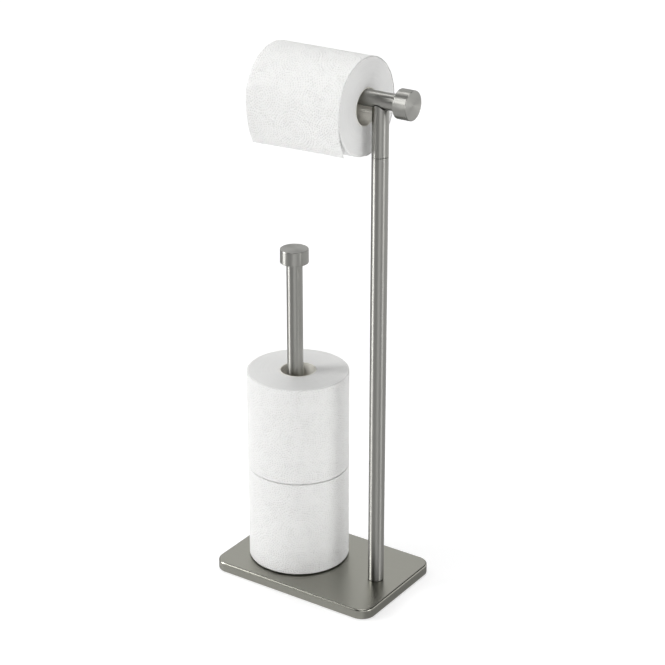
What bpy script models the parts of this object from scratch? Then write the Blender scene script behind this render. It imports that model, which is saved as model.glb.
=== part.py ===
"""Freestanding toilet paper holder with the three rolls that it carries.

A weighted base holds a tall post with a T-shaped arm, and a shorter post for spare rolls.
Metres, +Z up. The origin is the centre of the underside of the base, on the floor.
+X runs along the arm towards its near knob. -Y is the front, where the loose sheet hangs.
"""
import math

import bmesh
import bpy

OBJECT_NAME = "toilet_paper_holder"

# Clearances
GAP = 0.0003
CUT_OVERRUN = 0.002
MERGE_DISTANCE = 0.00001

# Base: a stamped cover, a steel weight inside it and a soft pad under it
BASE_LENGTH = 0.2248
BASE_WIDTH = 0.1484
COVER_HEIGHT = 0.0120
COVER_CORNER_RADIUS = 0.0173
COVER_EDGE_RADIUS = 0.0012
COVER_WALL = 0.0012
PAD_PROUD = 0.0010
PAD_THICKNESS = 0.0020

# Tubes of the posts and the arm
TUBE_RADIUS = 0.0095
TUBE_WALL = 0.0012
# The posts stand in from the two ends of the base, and the seam lies below the axis of the arm
POST_END_INSET = 0.0346
ARM_HEIGHT = 0.6112
ARM_REACH_NEAR = 0.0247
HEAD_TUBE_LENGTH = 0.0642
RESERVE_POST_END_INSET = 0.0736
RESERVE_POST_HEIGHT = 0.3972

# Knobs
KNOB_RADIUS = 0.01675
KNOB_HEIGHT = 0.0168
KNOB_CHAMFER = 0.0006
KNOB_HOLE_DEPTH = 0.0110

# Plugs pressed into the tube ends
FOOT_PLUG_LENGTH = 0.0200
JOINT_PLUG_LENGTH = 0.0160
HEAD_PLUG_LENGTH = 0.0140
END_PLUG_LENGTH = 0.0140

# Fasteners
FOOT_SCREW_RADIUS = 0.0040
FOOT_SCREW_REACH = 0.0170
FOOT_HEAD_RADIUS = 0.0065
FOOT_HEAD_HEIGHT = 0.0040
FOOT_SOCKET_WIDTH = 0.0050
FOOT_WASHER_RADIUS = 0.0090
FOOT_WASHER_THICKNESS = 0.0015
FOOT_COUNTERBORE_DEPTH = 0.0060
STUD_RADIUS = 0.0030
JOINT_STUD_RADIUS = 0.0040
ARM_BOLT_HEAD_RADIUS = 0.0050
ARM_BOLT_HEAD_HEIGHT = 0.0040
ARM_BOLT_SOCKET_WIDTH = 0.0040
ARM_BOLT_PAST_AXIS = 0.0045
ARM_WASHER_RADIUS = 0.0062
ARM_WASHER_THICKNESS = 0.0012
SOCKET_DEPTH_SHARE = 0.6
FASTENER_CHAMFER = 0.0005

# Rolls
ROLL_WIDTH = 0.1234
TOP_ROLL_RADIUS = 0.0563
RESERVE_ROLL_RADIUS = 0.0616
CORE_INNER_RADIUS = 0.0207
CORE_WALL = 0.0010
PAPER_EDGE_RADIUS = 0.0020
# The near face of the top roll stands clear of the post's axis, and its far face of the far knob
TOP_ROLL_POST_DISTANCE = 0.0178
TOP_ROLL_FAR_ROOM = 0.0046
# The spare rolls stand off the axis of their post, by shares of the play that the knob leaves
ROLL_LEAN_X_SHARE = 0.48
ROLL_LEAN_Y_SHARE = 0.73

# Loose sheet
SHEET_LENGTH = 0.0520
SHEET_THICKNESS = 0.0004
SHEET_CURL_EXTRA = 0.0565

# Facets
ROUND_SIDES = 48
INNER_SIDES = 20
ROLL_SIDES = 56
SOCKET_SIDES = 6
CORNER_STEPS = 6
EDGE_STEPS = 2
PAPER_EDGE_STEPS = 2
SHEET_STEPS = 12
SHARP_ANGLE = math.radians(35)

# Sizes that follow from those above
BASE_TOP = PAD_PROUD + COVER_HEIGHT
TUBE_BORE = TUBE_RADIUS - TUBE_WALL
PLUG_RADIUS = TUBE_BORE - GAP
POST_FOOT = BASE_TOP + GAP
POST_X = BASE_LENGTH / 2 - POST_END_INSET
RESERVE_POST_X = RESERVE_POST_END_INSET - BASE_LENGTH / 2
POST_SEAM_HEIGHT = ARM_HEIGHT - HEAD_TUBE_LENGTH
TOP_ROLL_NEAR_FACE_X = POST_X - TOP_ROLL_POST_DISTANCE
ARM_FAR_END = TOP_ROLL_NEAR_FACE_X - ROLL_WIDTH - TOP_ROLL_FAR_ROOM
ARM_NEAR_END = POST_X + ARM_REACH_NEAR
ARM_NUT_LENGTH = 2 * (ARM_REACH_NEAR - END_PLUG_LENGTH - GAP)
KNOB_PLAY = CORE_INNER_RADIUS - KNOB_RADIUS
TOP_ROLL_AXIS_Z = ARM_HEIGHT + TUBE_RADIUS + GAP - CORE_INNER_RADIUS
TOP_ROLL_AXIS_X = TOP_ROLL_NEAR_FACE_X - ROLL_WIDTH / 2
RESERVE_ROLL_X = RESERVE_POST_X + KNOB_PLAY * ROLL_LEAN_X_SHARE
RESERVE_ROLL_Y = KNOB_PLAY * ROLL_LEAN_Y_SHARE

QUARTER_TURN = math.pi / 2


def clear_scene():
    """Remove every object of the open scene."""
    for obj in list(bpy.data.objects):
        bpy.data.objects.remove(obj, do_unlink=True)


def new_collection(name):
    """Make a collection in the scene."""
    collection = bpy.data.collections.new(name)
    bpy.context.scene.collection.children.link(collection)
    return collection


clear_scene()
PARTS = new_collection(OBJECT_NAME)
CUTTERS = new_collection(OBJECT_NAME + "_cutters")


def paint(name, color, roughness, metallic):
    """Make a Principled material."""
    material = bpy.data.materials.new(name)
    material.use_nodes = True
    material.diffuse_color = (*color, 1.0)
    shader = material.node_tree.nodes["Principled BSDF"]
    shader.inputs["Base Color"].default_value = (*color, 1.0)
    shader.inputs["Roughness"].default_value = roughness
    shader.inputs["Metallic"].default_value = metallic
    return material


def satin_nickel(name):
    """Brushed nickel, as on the cover, the tubes and the knobs."""
    return paint(name, (0.52, 0.52, 0.49), 0.30, 1.0)


def plated_steel(name):
    """Zinc-plated steel of the hidden fasteners and plugs."""
    return paint(name, (0.62, 0.63, 0.65), 0.40, 1.0)


def bare_iron(name):
    """Dark iron of the base weight."""
    return paint(name, (0.12, 0.12, 0.13), 0.60, 1.0)


def black_foam(name):
    """Black foam rubber of the base pad."""
    return paint(name, (0.02, 0.02, 0.02), 0.90, 0.0)


def tissue(name):
    """White tissue paper."""
    return paint(name, (0.86, 0.86, 0.85), 0.95, 0.0)


def card(name):
    """Cream cardboard of the roll cores."""
    return paint(name, (0.66, 0.62, 0.53), 0.90, 0.0)


def place(name, mesh, finish, location=(0.0, 0.0, 0.0), turn=0.0, parent=None):
    """Make the object of one sub-part. turn is its angle about Y, which lays local Z along X."""
    obj = bpy.data.objects.new(name, mesh)
    PARTS.objects.link(obj)
    obj.data.materials.append(finish(name + "_finish"))
    obj.location = location
    obj.rotation_euler = (0.0, turn, 0.0)
    obj.parent = parent
    return obj


def place_cutter(name, mesh, location=(0.0, 0.0, 0.0), turn=0.0):
    """Make an object that only cuts others."""
    obj = bpy.data.objects.new(name, mesh)
    CUTTERS.objects.link(obj)
    obj.location = location
    obj.rotation_euler = (0.0, turn, 0.0)
    obj.hide_render = True
    obj.display_type = "WIRE"
    return obj


def joint_empty(name, location):
    """Mark the axis of a moving body."""
    empty = bpy.data.objects.new(name, None)
    PARTS.objects.link(empty)
    empty.location = location
    return empty


def profile_mesh(name, profile):
    """A line of (radius, height) points, closed into a loop where it does not start on the axis."""
    mesh = bpy.data.meshes.new(name)
    points = [(radius, 0.0, height) for radius, height in profile]
    edges = [(i, i + 1) for i in range(len(points) - 1)]
    if profile[0][0] > 0.0:
        edges.append((len(points) - 1, 0))
    mesh.from_pydata(points, edges, [])
    return mesh


def spin(obj, sides):
    """Turn a profile about its own Z axis."""
    screw = obj.modifiers.new("spin", "SCREW")
    screw.steps = sides
    screw.render_steps = sides
    screw.use_merge_vertices = True
    screw.merge_threshold = MERGE_DISTANCE
    return obj


def cut(obj, *cutters):
    """Cut closed shapes out of a sub-part."""
    for cutter in cutters:
        boolean = obj.modifiers.new("cut_" + cutter.name, "BOOLEAN")
        boolean.operation = "DIFFERENCE"
        boolean.solver = "EXACT"
        boolean.object = cutter


def settle(obj):
    """Turn the modifiers into a mesh, smooth but for its corners."""
    bpy.context.view_layer.update()
    graph = bpy.context.evaluated_depsgraph_get()
    mesh = bpy.data.meshes.new_from_object(obj.evaluated_get(graph))
    mesh.name = obj.name
    obj.modifiers.clear()
    obj.data = mesh
    mesh.shade_smooth()
    mesh.set_sharp_from_angle(angle=SHARP_ANGLE)
    return obj


def turned(name, profile, finish, location, turn=0.0, sides=INNER_SIDES, parent=None):
    """Make a turned sub-part."""
    obj = place(name, profile_mesh(name, profile), finish, location, turn, parent)
    return settle(spin(obj, sides))


def turned_cutter(name, profile, location, turn=0.0, sides=INNER_SIDES):
    """Make a turned cutter."""
    return spin(place_cutter(name, profile_mesh(name, profile), location, turn), sides)


def ring_profile(inner, outer, low, high):
    """A rectangle off the axis, which spins into a tube, a plug with a hole or a washer."""
    return [(inner, high), (outer, high), (outer, low), (inner, low)]


def rod_profile(radius, low, high):
    """Half of a solid rod with chamfered ends."""
    edge = radius - FASTENER_CHAMFER
    return [
        (0.0, high),
        (edge, high),
        (radius, high - FASTENER_CHAMFER),
        (radius, low + FASTENER_CHAMFER),
        (edge, low),
        (0.0, low),
    ]


def drill_profile(radius, low, high):
    """Half of a plain cylinder, for a drill."""
    return [(0.0, high), (radius, high), (radius, low), (0.0, low)]


def socket_screw(name, radius, length, head_radius, head_height, socket_width, location):
    """A cap screw whose shank points up, with the underside of its head at its location."""
    profile = [
        (0.0, length),
        (radius - FASTENER_CHAMFER, length),
        (radius, length - FASTENER_CHAMFER),
        (radius, 0.0),
        (head_radius, 0.0),
        (head_radius, FASTENER_CHAMFER - head_height),
        (head_radius - FASTENER_CHAMFER, -head_height),
        (0.0, -head_height),
    ]
    obj = spin(place(name, profile_mesh(name, profile), plated_steel, location), INNER_SIDES)
    floor = -head_height * (1.0 - SOCKET_DEPTH_SHARE)
    socket_radius = socket_width / math.sqrt(3)
    socket = drill_profile(socket_radius, -head_height - CUT_OVERRUN, floor)
    cut(obj, turned_cutter(name + "_socket", socket, location, sides=SOCKET_SIDES))
    return settle(obj)


def rounded_block(name, length, width, low, high, corner, edge=0.0, open_below=False):
    """A box with rounded upright corners, and with a rounded top edge where edge is given."""
    shape = bmesh.new()
    bmesh.ops.create_cube(shape, size=1.0)
    bmesh.ops.scale(shape, vec=(length, width, high - low), verts=shape.verts)
    bmesh.ops.translate(shape, vec=(0.0, 0.0, (low + high) / 2), verts=shape.verts)
    upright = [e for e in shape.edges if abs(e.verts[0].co.z - e.verts[1].co.z) > (high - low) / 2]
    bmesh.ops.bevel(
        shape, geom=upright, offset=corner, segments=CORNER_STEPS, profile=0.5, affect="EDGES"
    )
    if open_below:
        below = [f for f in shape.faces if f.normal.z < -0.5]
        bmesh.ops.delete(shape, geom=below, context="FACES_ONLY")
    if edge > 0.0:
        rim = [e for e in shape.edges if min(v.co.z for v in e.verts) > high - GAP]
        bmesh.ops.bevel(
            shape, geom=rim, offset=edge, segments=EDGE_STEPS, profile=0.5, affect="EDGES"
        )
    bmesh.ops.recalc_face_normals(shape, faces=shape.faces)
    mesh = bpy.data.meshes.new(name)
    shape.to_mesh(mesh)
    shape.free()
    return mesh


def foot_places():
    """Where the two posts stand, by the names of the posts."""
    return {"main_post": POST_X, "reserve_post": RESERVE_POST_X}


def build_base():
    """Cover, weight and pad, with the holes for the two foot screws."""
    inset = COVER_WALL + GAP
    inner_length = BASE_LENGTH - 2 * inset
    inner_width = BASE_WIDTH - 2 * inset
    inner_corner = COVER_CORNER_RADIUS - inset

    cover_mesh = rounded_block(
        "base_cover",
        BASE_LENGTH,
        BASE_WIDTH,
        PAD_PROUD,
        BASE_TOP,
        COVER_CORNER_RADIUS,
        COVER_EDGE_RADIUS,
        open_below=True,
    )
    cover = place("base_cover", cover_mesh, satin_nickel)
    shell = cover.modifiers.new("wall", "SOLIDIFY")
    shell.thickness = COVER_WALL
    shell.offset = -1.0
    shell.use_even_offset = True

    weight_low = PAD_THICKNESS + GAP
    weight_high = BASE_TOP - COVER_WALL - GAP
    weight_mesh = rounded_block(
        "base_weight", inner_length, inner_width, weight_low, weight_high, inner_corner
    )
    weight = place("base_weight", weight_mesh, bare_iron)

    pad_mesh = rounded_block("base_pad", inner_length, inner_width, 0.0, PAD_THICKNESS, inner_corner)
    pad = place("base_pad", pad_mesh, black_foam)

    shank_hole = FOOT_SCREW_RADIUS + GAP
    access_hole = FOOT_WASHER_RADIUS + GAP
    step = weight_low + FOOT_COUNTERBORE_DEPTH
    stepped = [
        (0.0, BASE_TOP + CUT_OVERRUN),
        (shank_hole, BASE_TOP + CUT_OVERRUN),
        (shank_hole, step),
        (access_hole, step),
        (access_hole, -CUT_OVERRUN),
        (0.0, -CUT_OVERRUN),
    ]
    for name, x in foot_places().items():
        drill = turned_cutter(name + "_drill", stepped, (x, 0.0, 0.0))
        cut(cover, drill)
        cut(weight, drill)
        cut(pad, drill)
    for obj in (cover, weight, pad):
        settle(obj)


def build_foot(name, x):
    """Washer, screw and threaded plug that hold a post to the base from below."""
    washer_top = PAD_THICKNESS + FOOT_COUNTERBORE_DEPTH
    washer_low = washer_top - FOOT_WASHER_THICKNESS
    hole = FOOT_SCREW_RADIUS + GAP
    turned(
        name + "_washer",
        ring_profile(hole, FOOT_WASHER_RADIUS, washer_low, washer_top),
        plated_steel,
        (x, 0.0, 0.0),
    )
    head_top = washer_low - GAP
    socket_screw(
        name + "_screw",
        FOOT_SCREW_RADIUS,
        POST_FOOT + FOOT_SCREW_REACH - head_top,
        FOOT_HEAD_RADIUS,
        FOOT_HEAD_HEIGHT,
        FOOT_SOCKET_WIDTH,
        (x, 0.0, head_top),
    )
    turned(
        name + "_foot_plug",
        ring_profile(hole, PLUG_RADIUS, POST_FOOT, POST_FOOT + FOOT_PLUG_LENGTH),
        plated_steel,
        (x, 0.0, 0.0),
    )


def tube_profile(low, high):
    """The wall of a post or the arm."""
    return ring_profile(TUBE_BORE, TUBE_RADIUS, low, high)


def build_main_post():
    """The tall post, in two lengths of tube that a stud joins at the seam."""
    here = (POST_X, 0.0, 0.0)
    lower_end = POST_SEAM_HEIGHT - GAP / 2
    upper_start = POST_SEAM_HEIGHT + GAP / 2
    turned(
        "main_post_lower_tube",
        tube_profile(POST_FOOT, lower_end),
        satin_nickel,
        here,
        sides=ROUND_SIDES,
    )
    hole = JOINT_STUD_RADIUS + GAP
    turned(
        "main_post_lower_joint_plug",
        ring_profile(hole, PLUG_RADIUS, lower_end - JOINT_PLUG_LENGTH, lower_end),
        plated_steel,
        here,
    )
    turned(
        "main_post_upper_joint_plug",
        ring_profile(hole, PLUG_RADIUS, upper_start, upper_start + JOINT_PLUG_LENGTH),
        plated_steel,
        here,
    )
    stud_low = POST_SEAM_HEIGHT - JOINT_PLUG_LENGTH
    stud_high = POST_SEAM_HEIGHT + JOINT_PLUG_LENGTH
    turned(
        "main_post_joint_stud",
        rod_profile(JOINT_STUD_RADIUS, stud_low, stud_high),
        plated_steel,
        here,
    )

    upper = place(
        "main_post_upper_tube",
        profile_mesh("main_post_upper_tube", tube_profile(upper_start, ARM_HEIGHT)),
        satin_nickel,
        here,
    )
    saddle = turned_cutter(
        "saddle",
        drill_profile(TUBE_RADIUS + GAP, -TUBE_RADIUS - CUT_OVERRUN, TUBE_RADIUS + CUT_OVERRUN),
        (POST_X, 0.0, ARM_HEIGHT),
        QUARTER_TURN,
        ROUND_SIDES,
    )
    cut(spin(upper, ROUND_SIDES), saddle)
    settle(upper)


def build_arm():
    """The arm, the nut inside it, and the bolt that draws it down on the post."""
    plug_high = ARM_HEIGHT - TUBE_RADIUS - GAP
    plug_low = plug_high - HEAD_PLUG_LENGTH
    washer_high = plug_low - GAP
    washer_low = washer_high - ARM_WASHER_THICKNESS
    head_top = washer_low - GAP
    bolt_tip = ARM_HEIGHT + ARM_BOLT_PAST_AXIS
    hole = STUD_RADIUS + GAP
    here = (POST_X, 0.0, 0.0)

    turned(
        "main_post_head_plug",
        ring_profile(hole, PLUG_RADIUS, plug_low, plug_high),
        plated_steel,
        here,
    )
    turned(
        "arm_bolt_washer",
        ring_profile(hole, ARM_WASHER_RADIUS, washer_low, washer_high),
        plated_steel,
        here,
    )
    socket_screw(
        "arm_bolt",
        STUD_RADIUS,
        bolt_tip - head_top,
        ARM_BOLT_HEAD_RADIUS,
        ARM_BOLT_HEAD_HEIGHT,
        ARM_BOLT_SOCKET_WIDTH,
        (POST_X, 0.0, head_top),
    )

    bolt_hole = turned_cutter(
        "arm_bolt_hole",
        drill_profile(hole, plug_high, bolt_tip + GAP),
        here,
    )
    tube = place(
        "arm_tube",
        profile_mesh("arm_tube", tube_profile(ARM_FAR_END, ARM_NEAR_END)),
        satin_nickel,
        (0.0, 0.0, ARM_HEIGHT),
        QUARTER_TURN,
    )
    cut(spin(tube, ROUND_SIDES), bolt_hole)
    settle(tube)
    nut = place(
        "arm_nut",
        profile_mesh("arm_nut", rod_profile(PLUG_RADIUS, -ARM_NUT_LENGTH / 2, ARM_NUT_LENGTH / 2)),
        plated_steel,
        (POST_X, 0.0, ARM_HEIGHT),
        QUARTER_TURN,
    )
    cut(spin(nut, INNER_SIDES), bolt_hole)
    settle(nut)


def build_knob(name, tube_end, turn):
    """A knob on a tube's end, with the plug in the tube and the stud between them.

    Local Z points out of the tube, and the tube ends at local zero.
    """
    hole = STUD_RADIUS + GAP
    turned(
        name + "_plug",
        ring_profile(hole, PLUG_RADIUS, -END_PLUG_LENGTH, 0.0),
        plated_steel,
        tube_end,
        turn,
    )
    turned(
        name + "_stud",
        rod_profile(STUD_RADIUS, GAP - END_PLUG_LENGTH, KNOB_HOLE_DEPTH),
        plated_steel,
        tube_end,
        turn,
    )
    low = GAP
    high = GAP + KNOB_HEIGHT
    rim = KNOB_RADIUS - KNOB_CHAMFER
    bottom = GAP + KNOB_HOLE_DEPTH
    profile = [
        (0.0, high),
        (rim, high),
        (KNOB_RADIUS, high - KNOB_CHAMFER),
        (KNOB_RADIUS, low + KNOB_CHAMFER),
        (rim, low),
        (hole, low),
        (hole, bottom),
        (0.0, bottom),
    ]
    turned(name, profile, satin_nickel, tube_end, turn, ROUND_SIDES)


def build_reserve_post():
    """The short post that spare rolls stand on."""
    turned(
        "reserve_post_tube",
        tube_profile(POST_FOOT, RESERVE_POST_HEIGHT),
        satin_nickel,
        (RESERVE_POST_X, 0.0, 0.0),
        sides=ROUND_SIDES,
    )


def paper_profile(radius, width):
    """The wound paper's section, with its two outer edges rounded."""
    inner = CORE_INNER_RADIUS + CORE_WALL + GAP
    half = width / 2
    centre = radius - PAPER_EDGE_RADIUS
    steps = range(PAPER_EDGE_STEPS + 1)
    angles = [QUARTER_TURN * (1 - i / PAPER_EDGE_STEPS) for i in steps]
    arc = [(PAPER_EDGE_RADIUS * math.cos(a), PAPER_EDGE_RADIUS * math.sin(a)) for a in angles]
    top = [(centre + dx, half - PAPER_EDGE_RADIUS + dz) for dx, dz in arc]
    low = [(x, -z) for x, z in reversed(top)]
    return [(inner, half)] + top + low + [(inner, -half)]


def build_roll(name, axis, radius, turn=0.0):
    """A roll: a card core and the paper wound on it, about the empty on its axis."""
    half = ROLL_WIDTH / 2
    outer = CORE_INNER_RADIUS + CORE_WALL
    turned(
        name + "_core",
        ring_profile(CORE_INNER_RADIUS, outer, -half, half),
        card,
        (0.0, 0.0, 0.0),
        turn,
        ROUND_SIDES,
        axis,
    )
    turned(
        name + "_paper",
        paper_profile(radius, ROLL_WIDTH),
        tissue,
        (0.0, 0.0, 0.0),
        turn,
        ROLL_SIDES,
        axis,
    )


def build_rolls():
    """The roll on the arm and the two spare rolls, each about its own axis."""
    lower_middle = BASE_TOP + GAP + ROLL_WIDTH / 2
    upper_middle = lower_middle + ROLL_WIDTH + GAP
    top_axis = joint_empty("top_roll_axis", (TOP_ROLL_AXIS_X, 0.0, TOP_ROLL_AXIS_Z))
    upper_axis = joint_empty("upper_spare_axis", (RESERVE_ROLL_X, RESERVE_ROLL_Y, upper_middle))
    lower_axis = joint_empty("lower_spare_axis", (RESERVE_ROLL_X, RESERVE_ROLL_Y, lower_middle))
    build_roll("top_roll", top_axis, TOP_ROLL_RADIUS, QUARTER_TURN)
    build_roll("upper_spare", upper_axis, RESERVE_ROLL_RADIUS)
    build_roll("lower_spare", lower_axis, RESERVE_ROLL_RADIUS)


def build_loose_sheet():
    """The loose end, which leaves the front of the top roll and curls back a little.

    It is an arc of a wider circle than the roll's, extruded along the roll and made solid.
    """
    curl = TOP_ROLL_RADIUS + SHEET_CURL_EXTRA
    sweep = SHEET_LENGTH / curl
    axis = joint_empty(
        "loose_sheet_axis", (TOP_ROLL_AXIS_X, -TOP_ROLL_RADIUS - GAP, TOP_ROLL_AXIS_Z)
    )
    shape = bmesh.new()
    previous = None
    for i in range(SHEET_STEPS + 1):
        angle = sweep * i / SHEET_STEPS
        y = curl * (1 - math.cos(angle))
        z = -curl * math.sin(angle)
        vertex = shape.verts.new((-ROLL_WIDTH / 2, y, z))
        if previous is not None:
            shape.edges.new((previous, vertex))
        previous = vertex
    extruded = bmesh.ops.extrude_edge_only(shape, edges=shape.edges[:])
    moved = [part for part in extruded["geom"] if isinstance(part, bmesh.types.BMVert)]
    bmesh.ops.translate(shape, vec=(ROLL_WIDTH, 0.0, 0.0), verts=moved)
    bmesh.ops.recalc_face_normals(shape, faces=shape.faces)
    if sum(face.normal.y for face in shape.faces) > 0.0:
        bmesh.ops.reverse_faces(shape, faces=shape.faces)
    mesh = bpy.data.meshes.new("loose_sheet")
    shape.to_mesh(mesh)
    shape.free()
    sheet = place("loose_sheet", mesh, tissue, parent=axis)
    thick = sheet.modifiers.new("thickness", "SOLIDIFY")
    thick.thickness = SHEET_THICKNESS
    thick.offset = 1.0
    settle(sheet)


def main():
    """Build the holder from the floor up."""
    build_base()
    for name, x in foot_places().items():
        build_foot(name, x)
    build_main_post()
    build_arm()
    build_reserve_post()
    build_knob("near_knob", (ARM_NEAR_END, 0.0, ARM_HEIGHT), QUARTER_TURN)
    build_knob("far_knob", (ARM_FAR_END, 0.0, ARM_HEIGHT), -QUARTER_TURN)
    build_knob("reserve_knob", (RESERVE_POST_X, 0.0, RESERVE_POST_HEIGHT), 0.0)
    build_rolls()
    build_loose_sheet()


main()
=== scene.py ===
"""The looks of a freestanding toilet paper holder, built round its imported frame.

The tubes, the arm, the knobs and the cover of the base are made again as finer surfaces, each in the place
of its CAD node. So are the card cores, the wound paper and the loose sheet. The hidden weight, pad, plugs
and screws keep their CAD shapes and get finishes.
Metres, +Z up. The arm lies along X, and -Y is the front, where the loose sheet hangs.
"""
import math
from collections import namedtuple

import bmesh
import bpy
import numpy as np
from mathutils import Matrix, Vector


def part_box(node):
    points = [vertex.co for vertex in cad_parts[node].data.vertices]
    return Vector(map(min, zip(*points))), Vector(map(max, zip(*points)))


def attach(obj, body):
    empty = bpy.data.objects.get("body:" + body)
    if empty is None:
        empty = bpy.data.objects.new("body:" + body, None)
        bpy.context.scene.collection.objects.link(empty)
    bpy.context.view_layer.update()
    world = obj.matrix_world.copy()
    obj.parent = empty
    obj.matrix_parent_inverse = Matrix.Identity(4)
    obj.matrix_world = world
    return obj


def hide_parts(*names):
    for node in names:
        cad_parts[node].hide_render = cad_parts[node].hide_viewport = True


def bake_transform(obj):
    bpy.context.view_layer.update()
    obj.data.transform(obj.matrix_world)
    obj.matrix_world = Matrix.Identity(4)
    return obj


bl_info = {
    "name": "Toilet Paper Holder",
    "version": (1, 0, 0),
    "blender": (4, 5, 0),
    "location": "View3D > Sidebar > Holder",
    "description": "Builds a freestanding toilet paper holder and its three rolls",
    "category": "Add Mesh",
}

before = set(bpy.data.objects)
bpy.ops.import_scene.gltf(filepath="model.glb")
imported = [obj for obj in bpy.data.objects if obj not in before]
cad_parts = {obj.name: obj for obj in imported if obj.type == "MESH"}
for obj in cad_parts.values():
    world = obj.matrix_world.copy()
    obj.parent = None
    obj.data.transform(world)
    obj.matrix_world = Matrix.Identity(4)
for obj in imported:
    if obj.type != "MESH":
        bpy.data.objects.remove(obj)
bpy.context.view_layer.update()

TURN = 2 * math.pi
MERGE_DISTANCE = 0.000002
SHARP_ANGLE = math.radians(38)

# For each axis, the direction along it, and the numbers of the two coordinates off it and of the one on it
AXIS_WAY = {"X": (1.0, 0.0, 0.0), "Z": (0.0, 0.0, 1.0)}
AXIS_PARTS = {"X": (1, 2, 0), "Z": (0, 1, 2)}

# Facets
TUBE_SIDES = 128
KNOB_SIDES = 160
RIM_STEPS = 4
COVER_EDGE_STEPS = 8
CORNER_STEPS = 20
DIVIDE_STEPS = 24
HOLE_ROWS = 3
DRILL_SIDES = 48
KNOB_FACE_ROWS = 4
ROLL_SIDES = 384
ROLL_SIDE_ROWS = 112
ROLL_END_ROWS = 30
ROLL_EDGE_STEPS = 6
CORE_SIDES = 160
CORE_ROWS = 90
SHEET_ROWS = 312
SHEET_COLUMNS = 122


def node_middle(node):
    """The middle and the half size of a CAD node's box, as two arrays."""
    low, high = (np.array(corner, float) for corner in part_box(node))
    return (low + high) / 2, (high - low) / 2


def new_object(name, data):
    """An object with this data, in the scene."""
    made = bpy.data.objects.new(name, data)
    bpy.context.scene.collection.objects.link(made)
    return made


def seat(piece, node, body):
    """Put a piece in the place of a CAD node, which it hides, on its body."""
    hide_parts(node)
    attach(piece, body)


# Surfaces


def grid_faces(rows, columns, closed_rows=False, closed_columns=False):
    """Corners of the cells of a grid whose points are numbered row by row.

    A cell joins row i to row i + 1 and column j to column j + 1, and a closed direction ends at its start.
    """
    i, j = np.meshgrid(
        np.arange(rows if closed_rows else rows - 1),
        np.arange(columns if closed_columns else columns - 1),
        indexing="ij",
    )
    i, j = i.ravel(), j.ravel()
    k, m = (i + 1) % rows, (j + 1) % columns
    return np.stack([i * columns + j, i * columns + m, k * columns + m, k * columns + j], axis=1)


def grid_corners(row_places, column_places):
    """Flat (u, v) places of the cells' corners, in the order of grid_faces.

    The places have one entry more than the grid has lines where that direction is closed.
    """
    u, v = np.asarray(row_places), np.asarray(column_places)
    i, j = np.meshgrid(np.arange(len(u) - 1), np.arange(len(v) - 1), indexing="ij")
    i, j = i.ravel(), j.ravel()
    pairs = [(i, j), (i, j + 1), (i + 1, j + 1), (i + 1, j)]
    return np.stack([np.stack([u[a], v[b]], axis=1) for a, b in pairs], axis=1)


def enclosed_volume(points, faces):
    """Six times the signed volume inside closed faces: the sum of the triple products of their triangles."""
    a, b, c, d = (points[faces[:, k]] for k in range(4))
    first = np.einsum("ij,ij->i", a, np.cross(b, c))
    second = np.einsum("ij,ij->i", a, np.cross(c, d))
    return float((first + second).sum())


def make_piece(name, points, faces, finishes, places=None, finish_of_face=None, weld=False):
    """Make a smooth closed piece from arrays of points and of four-cornered faces, with its faces outwards.

    places are the (u, v) of each face's corners, and finish_of_face the number of each face's finish.
    """
    points = np.asarray(points, float).reshape(-1, 3)
    if enclosed_volume(points, faces) < 0.0:
        faces = faces[:, ::-1]
        places = None if places is None else places[:, ::-1]
    mesh = bpy.data.meshes.new(name)
    mesh.from_pydata(points.tolist(), [], faces.tolist())
    if places is not None:
        layer = mesh.uv_layers.new(name="surface")
        layer.data.foreach_set("uv", np.asarray(places, np.float32).ravel())
    for finish in finishes:
        mesh.materials.append(finish)
    if finish_of_face is not None:
        mesh.polygons.foreach_set("material_index", np.asarray(finish_of_face, np.int32))
    if weld:
        shape = bmesh.new()
        shape.from_mesh(mesh)
        bmesh.ops.remove_doubles(shape, verts=shape.verts, dist=MERGE_DISTANCE)
        shape.to_mesh(mesh)
        shape.free()
    mesh.shade_smooth()
    mesh.set_sharp_from_angle(angle=SHARP_ANGLE)
    mesh.update()
    return new_object(name, mesh)


def round_angles(sides):
    """The angles of a ring's points."""
    return np.arange(sides) * TURN / sides


def turned(radius, height, sides, middle, axis):
    """A section carried round an axis: the point at angle t is (r cos t, r sin t) off it and h along it.

    radius and height are lines of points, or grids with a row for each point and a column for each side.
    """
    radius, height = (np.broadcast_to(np.transpose(part), (sides, len(part))).T for part in (radius, height))
    angle = round_angles(sides)
    across = (radius * np.cos(angle), radius * np.sin(angle))
    points = (*across, height) if axis == "Z" else (height, *across)
    return np.stack(points, axis=-1) + np.asarray(middle)


def quarter(radius, steps=RIM_STEPS):
    """Two offsets of a quarter circle: how far it has left its first side, and how far it is from its second.

    At angle a they are r (1 - cos a) and r (1 - sin a), so it leaves one side and ends on the other.
    """
    a = np.linspace(0.0, math.pi / 2, steps + 1)
    return radius * (1 - np.cos(a)), radius * (1 - np.sin(a))


def tube_section(inner, outer, rim):
    """The closed section of a tube's wall, as radii, distances from an end, and whether that is the top end.

    It runs up the outside and down the inside. Each of the four rims is a quarter circle, with a support line
    beside it.
    """
    left, short = quarter(rim)
    inset = np.concatenate([[0.0], left])
    offset = np.concatenate([[2 * rim], short])
    out, bore = outer - inset, inner + inset
    radius = np.concatenate([out[::-1], out, bore[::-1], bore])
    offsets = np.concatenate([offset[::-1], offset, offset[::-1], offset])
    return radius, offsets, np.repeat([False, True, True, False], len(offset))


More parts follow.
